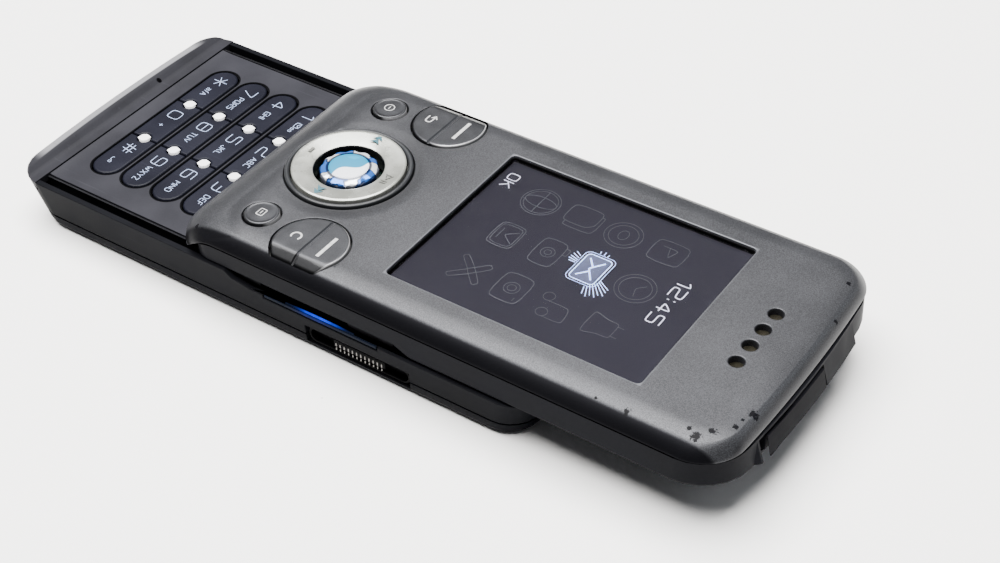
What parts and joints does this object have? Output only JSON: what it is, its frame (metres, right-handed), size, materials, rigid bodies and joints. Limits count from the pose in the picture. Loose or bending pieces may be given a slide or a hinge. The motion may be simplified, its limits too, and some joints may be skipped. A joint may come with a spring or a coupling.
{
  "type": "slider phone",
  "caption": "Slider mobile phone, slid open: keypad base, screen half with round pad, soft keys and earpiece, riding on hooked steel rails.",
  "frame": {"origin": "centre of the base's flat back face, which the phone lies on", "axes": "+X to the right side of the phone seen from its screen, +Y towards the earpiece end, +Z out of the screen; modelled slid open"},
  "size_m": [0.048, 0.1292, 0.0148],
  "materials": {
    "black_plastic": "fine satin, dark charcoal",
    "silver_paint": "satin metallic grey paint on plastic",
    "keypad_plastic": "satin charcoal",
    "key_plastic": "satin blue-black with printed characters",
    "steel": "stamped, bare",
    "plated_plastic": "silver plated",
    "circuit_green": "solder mask",
    "speaker_grey": "matte",
    "light_strip": "clear, lit blue from behind",
    "battery_wrap": "foil wrap",
    "dome_film": "silvered film",
    "clear_light": "clear",
    "gold": "gold plated",
    "dark_glass": "polished, dark",
    "screen_glass": "polished, clear",
    "display_back": "pressed frame",
    "collar_grey": "polished grey",
    "pearl": "pearl",
    "rubber": "matte",
    "chrome": "mirror"
  },
  "bodies": {
    "base": {"rear_housing": "black_plastic", "back_cover": "black_plastic", "battery": "battery_wrap", "main_board": "circuit_green", "dome_sheet": "dome_film", "key_light_guide": "clear_light", "keypad_fascia": "keypad_plastic", "chin_cap": "keypad_plastic", "rail_left": "steel", "rail_right": "steel", "side_light_left": "light_strip", "side_light_right": "light_strip", "deck_plate": "black_plastic", "connector_shell": "black_plastic", "connector_contacts": "gold", "loudspeaker": "speaker_grey", "camera_module": "black_plastic", "camera_window": "dark_glass", "vibration_motor": "steel", "microphone": "steel", "deck_screw_left": "steel", "deck_screw_right": "steel"},
    "slider": {"front_cover": "silver_paint", "slider_shell": "black_plastic", "display_window": "screen_glass", "display_module": "display_back", "slider_board": "circuit_green", "earpiece": "speaker_grey", "earpiece_mesh": "steel", "nav_bezel": "collar_grey", "slide_carriage": "steel", "carriage_screw_1": "steel", "carriage_screw_2": "steel", "carriage_screw_3": "steel", "carriage_screw_4": "steel"},
    "key_star": {"key_star": "key_plastic"},
    "key_0": {"key_0": "key_plastic"},
    "key_hash": {"key_hash": "key_plastic"},
    "key_7": {"key_7": "key_plastic"},
    "key_8": {"key_8": "key_plastic"},
    "key_9": {"key_9": "key_plastic"},
    "key_4": {"key_4": "key_plastic"},
    "key_5": {"key_5": "key_plastic"},
    "key_6": {"key_6": "key_plastic"},
    "key_1": {"key_1": "key_plastic"},
    "key_2": {"key_2": "key_plastic"},
    "key_3": {"key_3": "key_plastic"},
    "volume_rocker": {"volume_rocker": "plated_plastic"},
    "camera_key": {"camera_key": "plated_plastic"},
    "power_key": {"power_key": "keypad_plastic"},
    "nav_web": {"nav_web": "rubber"},
    "nav_ring": {"nav_ring": "pearl"},
    "centre_key": {"centre_key": "chrome"},
    "rocker_left": {"rocker_left": "silver_paint"},
    "rocker_right": {"rocker_right": "silver_paint"},
    "round_key_left": {"round_key_left": "silver_paint"},
    "round_key_right": {"round_key_right": "silver_paint"}
  },
  "joints": [
    {"name": "slide", "type": "slide", "parent": "base", "child": "slider", "axis": [0, 1, 0], "range_m": [-0.029, 0]},
    {"name": "key_star_press", "type": "slide", "parent": "base", "child": "key_star", "axis": [0, 0, -1], "range_m": [0, 0.0003], "stiffness_N_per_m": 2000},
    {"name": "key_0_press", "type": "slide", "parent": "base", "child": "key_0", "axis": [0, 0, -1], "range_m": [0, 0.0003], "stiffness_N_per_m": 2000},
    {"name": "key_hash_press", "type": "slide", "parent": "base", "child": "key_hash", "axis": [0, 0, -1], "range_m": [0, 0.0003], "stiffness_N_per_m": 2000},
    {"name": "key_7_press", "type": "slide", "parent": "base", "child": "key_7", "axis": [0, 0, -1], "range_m": [0, 0.0003], "stiffness_N_per_m": 2000},
    {"name": "key_8_press", "type": "slide", "parent": "base", "child": "key_8", "axis": [0, 0, -1], "range_m": [0, 0.0003], "stiffness_N_per_m": 2000},
    {"name": "key_9_press", "type": "slide", "parent": "base", "child": "key_9", "axis": [0, 0, -1], "range_m": [0, 0.0003], "stiffness_N_per_m": 2000},
    {"name": "key_4_press", "type": "slide", "parent": "base", "child": "key_4", "axis": [0, 0, -1], "range_m": [0, 0.0003], "stiffness_N_per_m": 2000},
    {"name": "key_5_press", "type": "slide", "parent": "base", "child": "key_5", "axis": [0, 0, -1], "range_m": [0, 0.0003], "stiffness_N_per_m": 2000},
    {"name": "key_6_press", "type": "slide", "parent": "base", "child": "key_6", "axis": [0, 0, -1], "range_m": [0, 0.0003], "stiffness_N_per_m": 2000},
    {"name": "key_1_press", "type": "slide", "parent": "base", "child": "key_1", "axis": [0, 0, -1], "range_m": [0, 0.0003], "stiffness_N_per_m": 2000},
    {"name": "key_2_press", "type": "slide", "parent": "base", "child": "key_2", "axis": [0, 0, -1], "range_m": [0, 0.0003], "stiffness_N_per_m": 2000},
    {"name": "key_3_press", "type": "slide", "parent": "base", "child": "key_3", "axis": [0, 0, -1], "range_m": [0, 0.0003], "stiffness_N_per_m": 2000},
    {"name": "volume_rock", "type": "hinge", "parent": "base", "child": "volume_rocker", "pos_m": [-0.0238, 0.016, 0.0036], "axis": [0, 0, 1], "range_deg": [-2, 2], "stiffness_Nm_per_rad": 0.14},
    {"name": "camera_key_press", "type": "slide", "parent": "base", "child": "camera_key", "axis": [1, 0, 0], "range_m": [0, 0.00025], "stiffness_N_per_m": 2000},
    {"name": "power_key_press", "type": "slide", "parent": "slider", "child": "power_key", "axis": [0, -1, 0], "range_m": [0, 0.00025], "stiffness_N_per_m": 2000},
    {"name": "nav_rock_sideways", "type": "hinge", "parent": "slider", "child": "nav_web", "pos_m": [0, 0.00035, 0.01195], "axis": [0, 1, 0], "range_deg": [-2, 2], "stiffness_Nm_per_rad": 0.15},
    {"name": "nav_rock_lengthwise", "type": "hinge", "parent": "nav_web", "child": "nav_ring", "pos_m": [0, 0.00035, 0.01195], "axis": [1, 0, 0], "range_deg": [-2, 2], "stiffness_Nm_per_rad": 0.15},
    {"name": "centre_key_press", "type": "slide", "parent": "slider", "child": "centre_key", "axis": [0, 0, -1], "range_m": [0, 0.0003], "stiffness_N_per_m": 2000},
    {"name": "rocker_left_rock", "type": "hinge", "parent": "slider", "child": "rocker_left", "pos_m": [-0.0174, 0.00675, 0.01225], "axis": [1, 0, 0], "range_deg": [-2.5, 2.5], "stiffness_Nm_per_rad": 0.09},
    {"name": "rocker_right_rock", "type": "hinge", "parent": "slider", "child": "rocker_right", "pos_m": [0.0174, 0.00675, 0.01225], "axis": [1, 0, 0], "range_deg": [-2.5, 2.5], "stiffness_Nm_per_rad": 0.09},
    {"name": "round_key_left_press", "type": "slide", "parent": "slider", "child": "round_key_left", "axis": [0, 0, -1], "range_m": [0, 0.0003], "stiffness_N_per_m": 2000},
    {"name": "round_key_right_press", "type": "slide", "parent": "slider", "child": "round_key_right", "axis": [0, 0, -1], "range_m": [0, 0.0003], "stiffness_N_per_m": 2000}
  ]
}
